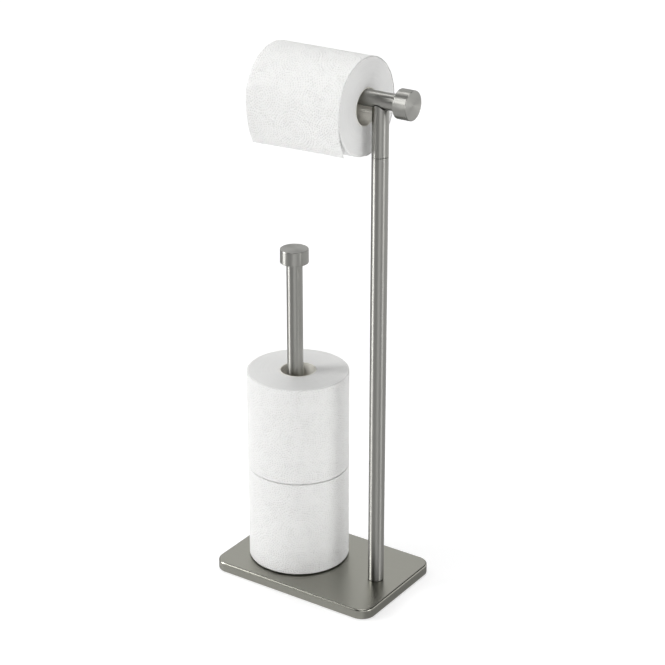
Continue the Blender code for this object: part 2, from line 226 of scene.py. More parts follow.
def tube_piece(name, middle, axis, low, high, outer, sizes, finish):
    """A tube from low to high along its axis, where high may be a function of the distance off the axis."""
    radius, offset, from_top = tube_section(outer - sizes.tube_wall, outer, sizes.tube_rim)
    top = high(radius[:, None] * np.sin(round_angles(TUBE_SIDES))) if callable(high) else high
    height = np.where(from_top[:, None], top - offset[:, None], low + offset[:, None])
    points = turned(radius, height, TUBE_SIDES, middle, axis)
    faces = grid_faces(len(radius), TUBE_SIDES, closed_rows=True, closed_columns=True)
    return make_piece(name, points, faces, [finish])


# Finishes


def add_node(tree, kind, inputs=None, **settings):
    """Add a shader node. An input that is a socket is linked, and any other is set."""
    made = tree.nodes.new(kind)
    for key, value in settings.items():
        setattr(made, key, value)
    for key, value in (inputs or {}).items():
        if isinstance(value, bpy.types.NodeSocket):
            tree.links.new(value, made.inputs[key])
        else:
            made.inputs[key].default_value = value
    return made


def calc(tree, operation, first, second=0.0, third=0.0):
    """The output of a Math node."""
    return add_node(tree, "ShaderNodeMath", {0: first, 1: second, 2: third}, operation=operation).outputs[0]


def vector_calc(tree, operation, first, second=None, output="Vector"):
    """The output of a Vector Math node."""
    inputs = {0: first} if second is None else {0: first, 1: second}
    return add_node(tree, "ShaderNodeVectorMath", inputs, operation=operation).outputs[output]


def scaled(tree, vector, factor):
    """A vector times a number."""
    return add_node(tree, "ShaderNodeVectorMath", {0: vector, "Scale": factor}, operation="SCALE").outputs[0]


def stepped(tree, value, low, high, to_low=0.0, to_high=1.0):
    """A value eased from to_low at low to to_high at high."""
    inputs = {"Value": value, 1: low, 2: high, 3: to_low, 4: to_high}
    return add_node(tree, "ShaderNodeMapRange", inputs, interpolation_type="SMOOTHSTEP").outputs[0]


def ranged(tree, value, to_low, to_high):
    """A value from 0 to 1 spread over another range."""
    return add_node(tree, "ShaderNodeMapRange", {"Value": value, 3: to_low, 4: to_high}).outputs[0]


def mixed(tree, share, first, second):
    """Two colours mixed by a share."""
    return add_node(tree, "ShaderNodeMix", {0: share, 6: first, 7: second}, data_type="RGBA").outputs[2]


def noise(tree, vector, scale=1.0, detail=2.0, roughness=0.5, output="Fac"):
    """A noise texture: its grey value or its Color."""
    inputs = {"Vector": vector, "Scale": scale, "Detail": detail, "Roughness": roughness}
    return add_node(tree, "ShaderNodeTexNoise", inputs).outputs[output]


def split(tree, vector):
    """The three parts of a vector."""
    return add_node(tree, "ShaderNodeSeparateXYZ", {0: vector}).outputs


def tone(color, share):
    """A colour times a share, with its alpha."""
    return (*[channel * share for channel in color], 1.0)


def new_finish(name, preview, roughness, metallic):
    """A material with its tree, its shader and its Object coordinates."""
    finish = bpy.data.materials.new(name)
    finish.use_nodes = True
    finish.diffuse_color = (*preview, 1.0)
    finish.roughness, finish.metallic = roughness, metallic
    tree = finish.node_tree
    shader = tree.nodes["Principled BSDF"]
    shader.inputs["Metallic"].default_value = metallic
    return finish, tree, shader, add_node(tree, "ShaderNodeTexCoord").outputs["Object"]


def paint(tree, shader, color, roughness, height, depth):
    """Link the shader's colour and roughness, and a relief of the height's value times depth, in metres."""
    relief = add_node(tree, "ShaderNodeBump", {"Height": height, "Distance": depth})
    tree.links.new(color, shader.inputs["Base Color"])
    tree.links.new(roughness, shader.inputs["Roughness"])
    tree.links.new(relief.outputs[0], shader.inputs["Normal"])


# How nickel is brushed: the width and the depth of its lines in metres, the noise's scale along them and that
# of its clouds, its roughness, and how far its gloss is drawn out across the lines
Brushing = namedtuple("Brushing", "line_size line_depth along clouds satin drawn_out")
TUBE_BRUSHING = Brushing(0.00025, 0.000001, along=14.0, clouds=9.0, satin=0.33, drawn_out=0.9)
KNOB_BRUSHING = Brushing(0.0008, 0.00001, along=14.0, clouds=9.0, satin=0.34, drawn_out=0.8)
COVER_BRUSHING = Brushing(0.0009, 0.000005, along=40.0, clouds=7.0, satin=0.3, drawn_out=0.0)
# How far the roughness goes to both sides from line to line, and the roughness of the cover's burnished edge
SATIN_PLAY = 0.03
BURNISHED_SATIN = 0.26


def nickel_shade(tree, color, brushing, lines, place):
    """Nickel's colour: it varies from line to line, and is darker in wide faint clouds."""
    shade = mixed(tree, lines, tone(color, 0.95), tone(color, 1.05))
    cloud = noise(tree, place, scale=brushing.clouds)
    return mixed(tree, ranged(tree, cloud, 0.0, 0.12), shade, tone(color, 0.8))


def turned_nickel(name, axis, middle, color, brushing):
    """Satin nickel brushed round an axis, as on a tube or a turned knob.

    The brushed lines are noise that is fine along the axis and off it, and slow across. The gloss is drawn
    out across the lines: the tangent is (axis x offset) x normal, along the side and outwards over an end.
    """
    finish, tree, shader, place = new_finish(name, color, roughness=brushing.satin, metallic=1.0)
    off = vector_calc(tree, "SUBTRACT", place, tuple(middle))
    along = vector_calc(tree, "DOT_PRODUCT", off, AXIS_WAY[axis], "Value")
    round_axis = vector_calc(tree, "CROSS_PRODUCT", AXIS_WAY[axis], off)
    from_axis = vector_calc(tree, "LENGTH", round_axis, output="Value")
    normal = add_node(tree, "ShaderNodeNewGeometry").outputs["Normal"]
    tangent = vector_calc(tree, "NORMALIZE", vector_calc(tree, "CROSS_PRODUCT", round_axis, normal))
    across, down = [calc(tree, "DIVIDE", part, brushing.line_size) for part in (along, from_axis)]
    fine = add_node(tree, "ShaderNodeCombineXYZ", {"X": across, "Y": down}).outputs[0]
    slow = scaled(tree, off, brushing.along)
    lines = noise(tree, vector_calc(tree, "ADD", fine, slow), detail=3.0, roughness=0.6)
    shade = nickel_shade(tree, color, brushing, lines, place)
    satin = ranged(tree, lines, brushing.satin - SATIN_PLAY, brushing.satin + SATIN_PLAY)
    paint(tree, shader, shade, satin, lines, brushing.line_depth)
    shader.inputs["Anisotropic"].default_value = brushing.drawn_out
    tree.links.new(tangent, shader.inputs["Tangent"])
    return finish


def brushed_nickel(name, color, brushing):
    """Satin nickel brushed along X, as on the stamped cover: noise that is slow along X and fine across.

    Its round edge is burnished, where the upward part of the normal is between 0 and 1, and the lower part of
    that edge is painted paler where it faces the front, a painted highlight.
    """
    finish, tree, shader, place = new_finish(name, color, roughness=brushing.satin, metallic=1.0)
    stretch = (brushing.along, 1.0 / brushing.line_size, 1.0 / brushing.line_size)
    lines = noise(tree, vector_calc(tree, "MULTIPLY", place, stretch), detail=3.0, roughness=0.6)
    _, backward, upward = split(tree, add_node(tree, "ShaderNodeNewGeometry").outputs["Normal"])
    rising = stepped(tree, upward, 0.1, 0.3)
    # painted highlight: the front-facing lower part of the round edge is painted paler than the nickel
    painted_highlight = calc(tree, "MULTIPLY", rising, stepped(tree, upward, 0.85, 0.65))
    painted_highlight = calc(tree, "MULTIPLY", painted_highlight, stepped(tree, backward, -0.2, -0.7))
    burnished = calc(tree, "MULTIPLY", rising, stepped(tree, upward, 0.99, 0.95))
    shade = nickel_shade(tree, color, brushing, lines, place)
    shade = mixed(tree, painted_highlight, shade, tone(color, 1.1))
    satin = ranged(tree, lines, brushing.satin - SATIN_PLAY, brushing.satin + SATIN_PLAY)
    satin = ranged(tree, burnished, satin, BURNISHED_SATIN)
    paint(tree, shader, shade, satin, lines, brushing.line_depth)
    shader.inputs["Anisotropic"].default_value = brushing.drawn_out
    return finish


def zinc_plate(name, color):
    """Zinc-plated steel: a pale, slightly clouded plating with fine turning lines."""
    finish, tree, shader, place = new_finish(name, color, roughness=0.38, metallic=1.0)
    cloud = noise(tree, place, scale=160.0, detail=4.0, roughness=0.6)
    warm = (color[0] * 1.04, color[1], color[2] * 0.9, 1.0)
    lines = noise(tree, vector_calc(tree, "MULTIPLY", place, (300.0, 300.0, 2600.0)))
    shade = mixed(tree, cloud, tone(color, 0.92), warm)
    paint(tree, shader, shade, ranged(tree, cloud, 0.3, 0.46), lines, depth=0.00002)
    return finish


def cast_iron(name, color):
    """Bare dark iron: a sandy skin with patches of darker scale."""
    finish, tree, shader, place = new_finish(name, color, roughness=0.62, metallic=1.0)
    sand = noise(tree, place, scale=900.0, detail=4.0, roughness=0.7)
    scale = noise(tree, place, scale=45.0, detail=3.0)
    shade = mixed(tree, scale, tone(color, 0.7), tone(color, 1.3))
    paint(tree, shader, shade, ranged(tree, sand, 0.5, 0.75), sand, depth=0.0003)
    return finish


def foam_rubber(name, color):
    """Black closed-cell foam: small round cells, a little paler where their walls stand up."""
    finish, tree, shader, place = new_finish(name, color, roughness=0.92, metallic=0.0)
    cells = add_node(tree, "ShaderNodeTexVoronoi", {"Vector": place, "Scale": 1400.0}).outputs["Distance"]
    walls = stepped(tree, cells, 0.1, 0.6)
    # painted shade and highlight: the hollows of the cells are painted darker and their raised walls paler
    shade = mixed(tree, walls, tone(color, 0.7), tone(color, 1.8))
    paint(tree, shader, shade, ranged(tree, walls, 0.85, 0.97), walls, depth=0.0002)
    return finish


# How far the tissue's rings stray, in metres from the least to the most
RING_STRAY = 0.0032


def pressed_dots(tree, flat, paper):
    """Dots from 0 to about 1 in rings about loosely spaced centres, over flat places in metres.

    At a distance d and an angle a from the nearest centre, u is d over the spacing of the rings, and k is u
    rounded. A dot is (1 + cos 2 pi u) (1 + cos n k a) / 4, where n is how many dots the first ring has.
    One noise moves the places a little, so that the rings wander, and another presses some patches harder.
    """
    stray = noise(tree, flat, scale=340.0, detail=1.0, output="Color")
    stray = vector_calc(tree, "SUBTRACT", stray, (0.5, 0.5, 0.5))
    stray = vector_calc(tree, "MULTIPLY", stray, (RING_STRAY, RING_STRAY, 0.0))
    flat = vector_calc(tree, "ADD", flat, stray)
    inputs = {"Vector": flat, "Scale": 1.0 / paper.motif_size, "Randomness": 0.6}
    centre = add_node(tree, "ShaderNodeTexVoronoi", inputs, voronoi_dimensions="2D").outputs["Position"]
    off = vector_calc(tree, "SUBTRACT", flat, centre)
    along, across, _ = split(tree, off)
    rings = calc(tree, "DIVIDE", vector_calc(tree, "LENGTH", off, output="Value"), paper.ring_size)
    first_ring = round(TURN * paper.ring_size / paper.dot_size)
    dots_round = calc(tree, "MULTIPLY", calc(tree, "ROUND", rings), first_ring)
    phases = [
        calc(tree, "MULTIPLY", rings, TURN),
        calc(tree, "MULTIPLY", dots_round, calc(tree, "ARCTAN2", across, along)),
    ]
    hills = [calc(tree, "MULTIPLY_ADD", calc(tree, "COSINE", phase), 0.5, 0.5) for phase in phases]
    dots = stepped(tree, calc(tree, "MULTIPLY", *hills), 0.15, 0.85)
    patches = noise(tree, flat, scale=90.0, detail=1.0)
    firm = stepped(tree, patches, 0.36, 0.6, to_low=0.65, to_high=1.05)
    return calc(tree, "MULTIPLY", dots, firm)


def tissue_face(name, color, paper, strength):
    """Embossed tissue: pressed dots over soft puffs, a fine crepe and finer fibres.

    The dots are read from the piece's own surface map, in metres along the winding and across the roll. The
    height is 2 puffs + 1.3 crepe + 0.15 fibres - strength x dots. The pressed dots are also painted darker,
    a painted shade in their hollows.
    """
    finish, tree, shader, place = new_finish(name, color, roughness=0.95, metallic=0.0)
    dots = pressed_dots(tree, add_node(tree, "ShaderNodeUVMap", uv_map="surface").outputs[0], paper)
    fibres = noise(tree, place, scale=1800.0, detail=3.0, roughness=0.7)
    puffs = noise(tree, place, scale=110.0)
    crepe = noise(tree, place, scale=340.0, detail=1.0)
    height = calc(tree, "MULTIPLY_ADD", crepe, 1.3, calc(tree, "MULTIPLY", puffs, 2.0))
    height = calc(tree, "MULTIPLY_ADD", dots, -strength, height)
    height = calc(tree, "MULTIPLY_ADD", fibres, 0.15, height)
    # painted shade: the pressed dots are painted darker, as shade in their hollows
    shade = mixed(tree, dots, tone(color, 1.0), tone(color, 1.0 - 0.05 * strength))
    shade = mixed(tree, ranged(tree, fibres, 0.0, 0.05), shade, tone(color, 0.8))
    paint(tree, shader, shade, ranged(tree, fibres, 0.9, 1.0), height, paper.emboss_depth)
    shader.inputs["Specular IOR Level"].default_value = 0.15
    shader.inputs["Sheen Weight"].default_value = 0.05
    return finish


def tissue_edge(name, color, axis, middle):
    """The cut edges of wound tissue: fine wandering rings, by noise of the distance off the axis."""
    finish, tree, shader, place = new_finish(name, color, roughness=0.97, metallic=0.0)
    off = vector_calc(tree, "SUBTRACT", place, tuple(middle))
    round_axis = vector_calc(tree, "CROSS_PRODUCT", AXIS_WAY[axis], off)
    from_axis = vector_calc(tree, "LENGTH", round_axis, output="Value")
    slow = scaled(tree, off, 30.0)
    fine = add_node(tree, "ShaderNodeCombineXYZ", {"X": calc(tree, "MULTIPLY", from_axis, 1600.0)}).outputs[0]
    wide = vector_calc(tree, "MULTIPLY", fine, (0.12, 1.0, 1.0))
    layers = noise(tree, vector_calc(tree, "ADD", fine, slow), detail=3.0, roughness=0.6)
    bands = noise(tree, vector_calc(tree, "ADD", wide, slow))
    fluff = noise(tree, place, scale=1500.0, detail=3.0, roughness=0.7)
    # painted shade: the whole end face is painted darker than the tissue, as shade between its wound layers;
    # the rings between these two tones are the edge's own
    shade = mixed(tree, layers, tone(color, 0.86), tone(color, 0.96))
    shade = mixed(tree, ranged(tree, bands, 0.0, 0.1), shade, tone(color, 0.8))
    height = calc(tree, "MULTIPLY_ADD", fluff, 0.5, layers)
    paint(tree, shader, shade, ranged(tree, fluff, 0.92, 1.0), height, depth=0.00012)
    shader.inputs["Specular IOR Level"].default_value = 0.1
    return finish


# The height that the card strip of a core climbs in one turn
STRIP_PITCH = 0.055


def core_card(name, color, axis, middle):
    """Spiral-wound card: pulp fibres and the darker line where its strip meets itself.

    The line is where the height in pitches plus the turns round the axis is halfway between whole numbers.
    """
    finish, tree, shader, place = new_finish(name, color, roughness=0.9, metallic=0.0)
    parts = split(tree, vector_calc(tree, "SUBTRACT", place, tuple(middle)))
    first, second, along = (parts[number] for number in AXIS_PARTS[axis])
    climb = calc(tree, "MULTIPLY", along, 1.0 / STRIP_PITCH)
    turns = calc(tree, "MULTIPLY_ADD", calc(tree, "ARCTAN2", second, first), 1.0 / TURN, climb)
    from_seam = calc(tree, "ABSOLUTE", calc(tree, "SUBTRACT", calc(tree, "FRACT", turns), 0.5))
    seam = stepped(tree, from_seam, 0.0, 0.018, to_low=1.0, to_high=0.0)
    pulp = noise(tree, place, scale=500.0, detail=4.0, roughness=0.7)
    specks = stepped(tree, noise(tree, place, scale=1300.0), 0.62, 0.72)
    shade = mixed(tree, pulp, tone(color, 0.88), tone(color, 1.06))
    shade = mixed(tree, calc(tree, "MULTIPLY", specks, 0.25), shade, tone(color, 0.6))
    shade = mixed(tree, calc(tree, "MULTIPLY", seam, 0.45), shade, tone(color, 0.55))
    height = calc(tree, "SUBTRACT", pulp, seam)
    paint(tree, shader, shade, ranged(tree, pulp, 0.82, 0.96), height, depth=0.0002)
    shader.inputs["Specular IOR Level"].default_value = 0.2
    return finish


# Settings


def length_property(title, what, default):
    """A length of the panel."""
    return bpy.props.FloatProperty(name=title, description=what, default=default, unit="LENGTH")


def angle_property(title, what, degrees):
    """An angle of the panel, given in degrees."""
    return bpy.props.FloatProperty(
        name=title, description=what, default=math.radians(degrees), subtype="ANGLE"
    )


def color_property(title, what, default):
    """A colour of the panel."""
    return bpy.props.FloatVectorProperty(
        name=title, description=what, default=default, subtype="COLOR", size=3, min=0.0, max=1.0
    )


class HolderMetalSizes(bpy.types.PropertyGroup):
    """Sizes of the metal pieces that the frame's boxes don't give."""

    cover_corner: length_property("Cover corner", "Radius of the cover's upright corners", 0.0173)
    cover_edge: length_property("Cover edge", "Radius of the round on the cover's top edge", 0.0022)
    cover_wall: length_property("Cover wall", "Thickness of the stamped cover", 0.0012)
    screw_hole: length_property("Screw hole", "Radius of the holes that the foot screws pass", 0.0043)
    tube_wall: length_property("Tube wall", "Wall of the posts and the arm", 0.0012)
    tube_rim: length_property("Tube rim", "Round on the rims of the tubes", 0.0004)
    saddle_gap: length_property("Saddle gap", "Clearance between the arm and its saddle", 0.0009)
    bolt_hole: length_property("Bolt hole", "Radius of the hole in the arm and of those in the knobs", 0.0033)
    knob_rim: length_property("Knob rim", "Round on the two rims of a knob", 0.0007)
    knob_hole_depth: length_property("Knob hole depth", "Depth of the hole for a knob's stud", 0.0110)


class HolderPaperSizes(bpy.types.PropertyGroup):
    """Sizes of the paper and the cores that the frame's boxes don't give."""

    sheet_thickness: length_property("Sheet thickness", "Thickness of the loose sheet", 0.0003)
    sheet_curl: length_property("Sheet curl", "Radius that the loose end curls to", 0.1128)
    near_drop: length_property("Near drop", "Length of the loose end at the side of the post", 0.0490)
    far_drop: length_property("Far drop", "Length of the loose end at its other side", 0.0520)
    edge_round: length_property("Edge round", "Round on the outer edges of a roll", 0.0014)
    foot_gap: length_property("Foot gap", "Height of the lower roll's paper above its core's foot", 0.0010)
    core_wall: length_property("Core wall", "Thickness of the card core", 0.0010)
    emboss_depth: length_property("Emboss depth", "Depth of the pressed dots", 0.00045)
    dot_size: length_property("Dot spacing", "Spacing of the pressed dots", 0.0026)
    ring_size: length_property("Ring spacing", "Spacing of the rings of dots", 0.0031)
    motif_size: length_property("Motif spacing", "Spacing of the centres of the rings", 0.0460)
    pucker: length_property("Pucker", "How far the paper is pulled in between its high places", 0.00025)


class HolderColors(bpy.types.PropertyGroup):
    """Colours of the finishes."""

    cover_nickel: color_property("Cover nickel", "Satin nickel of the base's cover", (0.330, 0.327, 0.290))
    tube_nickel: color_property("Tube nickel", "Satin nickel of the tubes and knobs", (0.358, 0.356, 0.336))
    zinc: color_property("Zinc", "Plating of the hidden screws and plugs", (0.62, 0.63, 0.65))
    iron: color_property("Iron", "Weight inside the base", (0.12, 0.12, 0.13))
    foam: color_property("Foam", "Pad under the base", (0.02, 0.02, 0.02))
    tissue: color_property("Tissue", "Paper of the rolls", (0.865, 0.865, 0.855))
    card: color_property("Card", "Cores of the rolls", (0.95, 0.93, 0.86))


# The stand


def outline(half_x, half_y, radius, extra_x):
    """Points and outward directions round a rectangle with round corners, anticlockwise.

    They start on the front side, at extra_x, and the back side has a point there too. A corner's points are
    its centre plus its radius times (cos t, sin t).
    """
    t = np.linspace(0.0, math.pi / 2, CORNER_STEPS + 1)
    points, ways = [[(extra_x, -half_y)]], [[(0.0, -1.0)]]
    for sign_x, sign_y, start in ((1, -1, -0.25), (1, 1, 0.0), (-1, 1, 0.25), (-1, -1, 0.5)):
        way = np.stack([np.cos(t + start * TURN), np.sin(t + start * TURN)], axis=1)
        centre = np.array([sign_x * (half_x - radius), sign_y * (half_y - radius)])
        points.append(centre + radius * way)
        ways.append(way)
        if (sign_x, sign_y) == (1, 1):
            points.append([(extra_x, half_y)])
            ways.append([(0.0, 1.0)])
    return np.concatenate(points), np.concatenate(ways)


def at_heights(flat, heights):
    """Rows of flat points, with a height for each row or one for all."""
    upright = np.broadcast_to(np.reshape(heights, (-1, 1, 1)), (*flat.shape[:2], 1))
    return np.concatenate([flat, upright], axis=2)


def plate_patch(border, hole_centre, hole_radius, height):
    """A flat patch between a circle and a border round it, as rows of points.

    Row s is (1 - s) times the circle's point that lies towards the border's point, plus s times the latter.
    """
    way = border - hole_centre
    circle = hole_centre + hole_radius * way / np.linalg.norm(way, axis=1)[:, None]
    share = np.linspace(0.0, 1.0, HOLE_ROWS)[:, None, None]
    return at_heights((1 - share) * circle + share * border, height)


def cover_piece(sizes, finish):
    """The stamped cover: a round-cornered pan, open below, with a hole for each foot screw.

    Its outside is a section carried round the outline, which is (inset, height) up the side and over the
    round edge. Its inside is the same with the wall's thickness off. The top is two patches, one round each
    hole, which meet on a line between the posts.
    """
    low, high = (np.array(corner, float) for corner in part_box("base_cover"))
    foot, top, under = low[2], high[2], high[2] - sizes.cover_wall
    holes = [node_middle(node)[0][0] for node in ("main_post_lower_tube", "reserve_post_tube")]
    divide = sum(holes) / 2
    line, way = outline((high[0] - low[0]) / 2, (high[1] - low[1]) / 2, sizes.cover_corner, divide)

    def rows(insets, heights):
        """The outline moved in by each inset, at each height."""
        return at_heights(line - np.reshape(insets, (-1, 1, 1)) * way, heights)

    edge, wall = sizes.cover_edge, sizes.cover_wall
    support = edge / 4
    left, short = quarter(edge, COVER_EDGE_STEPS)
    outer = rows([0.0, 0.0, *left, edge + support], [foot, top - edge - support, *(top - short), top])
    inner = rows([wall, wall, wall + support], [foot, under, under])
    skin = np.concatenate([outer[::-1], inner])
    points, faces, rims = [skin.reshape(-1, 3)], [grid_faces(len(skin), len(line), closed_columns=True)], []
    halfway = int(np.argmax((np.abs(line[:, 0] - divide) < MERGE_DISTANCE) & (line[:, 1] > 0)))
    share = np.linspace(0.0, 1.0, DIVIDE_STEPS)[1:-1, None]
    for ring, height, order in ((outer[-1, :, :2], top, -1), (inner[-1, :, :2], under, 1)):
        right, left_side = ring[: halfway + 1], np.concatenate([ring[halfway:], ring[:1]])
        down = right[-1] + (right[0] - right[-1]) * share
        borders = (np.concatenate([right, down]), np.concatenate([left_side, down[::-1]]))
        for border, hole in zip(borders, holes):
            start = sum(len(part) for part in points)
            patch = plate_patch(border, np.array([hole, 0.0]), sizes.screw_hole, height)
            points.append(patch.reshape(-1, 3))
            faces.append(grid_faces(HOLE_ROWS, len(border), closed_columns=True)[:, ::order] + start)
            rims.append(start + np.arange(len(border)))
    # the walls of the holes join the first rows of the upper and the lower patches
    for upper, lower in zip(rims[:2], rims[2:]):
        faces.append(np.stack([upper, np.roll(upper, -1), np.roll(lower, -1), lower], axis=1))
    return make_piece("base_cover_skin", np.concatenate(points), np.concatenate(faces), [finish], weld=True)


class HOLDER_OT_cover(bpy.types.Operator):
    """Make the stamped cover of the base"""

    bl_idname = "holder.cover"
    bl_label = "Base Cover"

    def execute(self, context):
        finish = brushed_nickel("nickel_cover", context.scene.holder_colors.cover_nickel, COVER_BRUSHING)
        seat(cover_piece(context.scene.holder_metal, finish), "base_cover", "stand")
        return {"FINISHED"}


class HOLDER_OT_posts(bpy.types.Operator):
    """Make the two lengths of the tall post and the short post"""

    bl_idname = "holder.posts"
    bl_label = "Posts"

    def execute(self, context):
        sizes, color = context.scene.holder_metal, context.scene.holder_colors.tube_nickel
        arm_middle, arm_half = node_middle("arm_tube")
        saddle = arm_half[2] + sizes.saddle_gap

        def saddle_top(off):
            """The arm's axis less the height of a circle of the saddle's radius, this far off the arm."""
            return arm_middle[2] - np.sqrt(saddle**2 - off**2)

        for node, name in (
            ("main_post_lower_tube", "tall_post_lower"),
            ("main_post_upper_tube", "tall_post_upper"),
            ("reserve_post_tube", "short_post"),
        ):
            middle, half = node_middle(node)
            centre = (middle[0], middle[1], 0.0)
            low, high = middle[2] - half[2], middle[2] + half[2]
            if node == "main_post_upper_tube":
                high = saddle_top
            finish = turned_nickel("nickel_" + name, "Z", centre, color, TUBE_BRUSHING)
            piece = tube_piece(name, centre, "Z", low, high, half[0], sizes, finish)
            seat(piece, node, "stand")
        return {"FINISHED"}


class HOLDER_OT_arm(bpy.types.Operator):
    """Make the arm, with the hole for the bolt that holds it to the post"""

    bl_idname = "holder.arm"
    bl_label = "Arm"

    def execute(self, context):
        sizes, color = context.scene.holder_metal, context.scene.holder_colors.tube_nickel
        middle, half = node_middle("arm_tube")
        outer, centre = half[2], (0.0, middle[1], middle[2])
        finish = turned_nickel("nickel_arm", "X", centre, color, TUBE_BRUSHING)
        piece = tube_piece("arm", centre, "X", middle[0] - half[0], middle[0] + half[0], outer, sizes, finish)
        post_x = node_middle("main_post_upper_tube")[0][0]
        below = middle[2] - 2 * outer
        drill_radii = [0.0, sizes.bolt_hole, sizes.bolt_hole, 0.0]
        drill_heights = [below, below, middle[2], middle[2]]
        drill_points = turned(drill_radii, drill_heights, DRILL_SIDES, (post_x, middle[1], 0.0), "Z")
        drill_faces = grid_faces(len(drill_radii), DRILL_SIDES, closed_columns=True)
        drill = make_piece("arm_drill", drill_points, drill_faces, [], weld=True)
        cut = piece.modifiers.new("bolt_hole", "BOOLEAN")
        cut.operation, cut.solver, cut.object = "DIFFERENCE", "EXACT", drill
        bpy.context.view_layer.update()
        mesh = bpy.data.meshes.new_from_object(piece.evaluated_get(bpy.context.evaluated_depsgraph_get()))
        piece.modifiers.clear()
        mesh.name = "arm"
        mesh.shade_smooth()
        mesh.set_sharp_from_angle(angle=SHARP_ANGLE)
        piece.data = mesh
        bpy.data.objects.remove(drill)
        seat(piece, "arm_tube", "stand")
        return {"FINISHED"}


def knob_section(height, radius, rim, hole, depth):
    """Half of a knob's section, as radii and heights, from the middle of its outer face.

    It goes over the face, down the side and in to the bottom of the stud's hole. Both rims are quarter
    circles with a support line beside them.
    """
    left, short = quarter(rim)
    support = rim / 3
    inset = np.concatenate([[0.0], left, [rim + support]])
    rise = np.concatenate([[rim + support], short, [0.0]])
    face = (radius - rim - support) * np.arange(KNOB_FACE_ROWS) / KNOB_FACE_ROWS
    side = radius - inset
    radii = np.concatenate([face, side[::-1], side, [hole + support, hole, hole, 0.0]])
    level = np.full(len(face), height)
    heights = np.concatenate([level, (height - rise)[::-1], rise, [0.0, 0.0, depth, depth]])
    return radii, heights


class HOLDER_OT_knobs(bpy.types.Operator):
    """Make the three turned knobs"""

    bl_idname = "holder.knobs"
    bl_label = "Knobs"

    def execute(self, context):
        sizes, color = context.scene.holder_metal, context.scene.holder_colors.tube_nickel
        for node, name, axis, way in (
            ("near_knob", "arm_knob_near", "X", 1.0),
            ("far_knob", "arm_knob_far", "X", -1.0),
            ("reserve_knob", "short_post_knob", "Z", 1.0),
        ):
            middle, half = node_middle(node)
            along = AXIS_PARTS[axis][2]
            radii, heights = knob_section(
                2 * half[along], half[1], sizes.knob_rim, sizes.bolt_hole, sizes.knob_hole_depth
            )
            start = middle[along] - way * half[along]
            centre = middle.copy()
            centre[along] = 0.0
            finish = turned_nickel("nickel_" + name, axis, centre, color, KNOB_BRUSHING)
            points = turned(radii, start + way * heights, KNOB_SIDES, centre, axis)
            faces = grid_faces(len(radii), KNOB_SIDES, closed_columns=True)
            seat(make_piece(name, points, faces, [finish], weld=True), node, "stand")
        return {"FINISHED"}


class HOLDER_OT_hidden_parts(bpy.types.Operator):
    """Give finishes to the weight, the pad, the screws and the plugs, which keep their CAD shapes"""

    bl_idname = "holder.hidden_parts"
    bl_label = "Hidden Parts"

    def execute(self, context):
        colors = context.scene.holder_colors
        zinc = zinc_plate("zinc_plate", colors.zinc)
        finishes = {
            "base_weight": cast_iron("cast_iron", colors.iron),
            "base_pad": foam_rubber("foam_rubber", colors.foam),
        }
        for name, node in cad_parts.items():
            if not node.hide_render:
                node.data.materials.clear()
                node.data.materials.append(finishes.get(name, zinc))
        return {"FINISHED"}


# The rolls

# The waves of the paper's unevenness: the seeds that they are drawn from, how many, the turns they make, from
# the first number to below the second, their steepest climb in radians a metre, the turns that halve a wave,
# and the deepest sum
PUCKER_SEEDS = {"upper_spare": 11, "lower_spare": 23, "top_roll": 5, "loose_sheet": 41}
PUCKER_WAVES = 14
PUCKER_TURNS = (2, 26)
PUCKER_CLIMB = 380.0
HALVING_TURNS = 14
DEEPEST_PUCKER = 4.0
# The clearances of the wound paper, round its core and under the loose sheet
CORE_CLEARANCE = 0.0003
SHEET_CLEARANCE = 0.0001
# The step at the end of a spare roll's outermost sheet, and the one along the spiral inside a core
TAIL_STEP = 0.00025
CORE_PLY = 0.00018
# How deep the dots of the tissue are against its puffs
SPARE_DOTS = 1.5
TOP_DOTS = 1.7
# The turns that the outermost sheet makes round the top roll before it hangs
WRAP_TURNS = 0.75
# The teeth of the sheet's torn edge
TOOTH_DEPTH = 0.00035
TOOTH_SPACING = 0.0042
# The band at its sides that dips, the dip of its outer face, and the share of that which its inner face has
SOFT_BAND = 0.0012
SOFT_DEPTH = 0.00025
SOFT_INSIDE = 0.3
# How deep its loose end waves, and the radians that its puckers go through in a metre of its run
WAVE_DEPTH = 0.0006
SHEET_PUCKER_RATE = 14.0


def puckers(around, along, seed):
    """Soft unevenness from 0 to 1: a sum of waves with whole numbers of turns, so that it closes.

    Each wave is cos(n t + k h + p) / (1 + n / m), for an angle t, a height h in metres, drawn n, k and p,
    and the halving turns m.
    """
    draw = np.random.default_rng(seed)
    total = np.zeros(np.broadcast(around, along).shape)
    for _ in range(PUCKER_WAVES):
        n = draw.integers(*PUCKER_TURNS)
        k = draw.uniform(-PUCKER_CLIMB, PUCKER_CLIMB)
        p = draw.uniform(0.0, TURN)
        total += np.cos(n * around + k * along + p) / (1.0 + n / HALVING_TURNS)
    return 0.5 + 0.5 * np.clip(total / DEEPEST_PUCKER, -1.0, 1.0)


